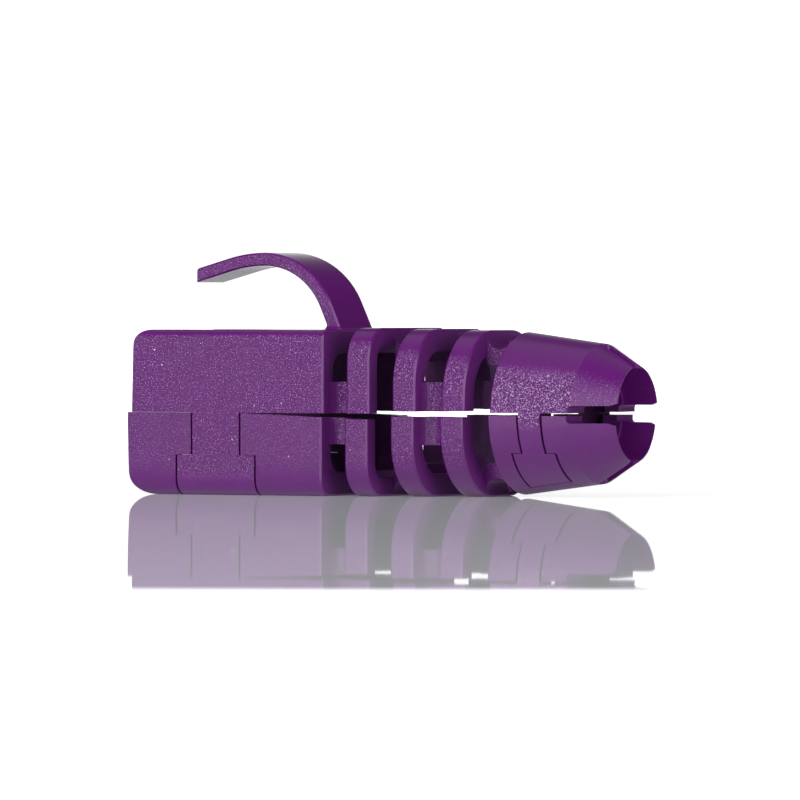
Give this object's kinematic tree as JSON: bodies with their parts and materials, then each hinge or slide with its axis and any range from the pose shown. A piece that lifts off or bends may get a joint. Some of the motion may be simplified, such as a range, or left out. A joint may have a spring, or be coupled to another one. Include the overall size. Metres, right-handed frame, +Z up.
{
  "type": "cable strain relief boot",
  "caption": "Strain relief boot in two half shells that lock together: plug housing with latch guard arm, flexible ribs and slit tapered cable grip.",
  "frame": {"origin": "Under the middle of the closed boot's length and width, on the surface that it rests on.", "axes": "+X runs along the cable from the plug end to the cable end, +Y across the boot, +Z up from the flat bottom towards the latch guard."},
  "size_m": [0.0378, 0.014, 0.0176],
  "materials": {
    "purple_plastic": "fine spark-eroded grain on the sides, smoother at the roundings"
  },
  "bodies": {
    "root": {"upper_shell": "purple_plastic", "lower_shell": "purple_plastic"}
  },
  "joints": []
}
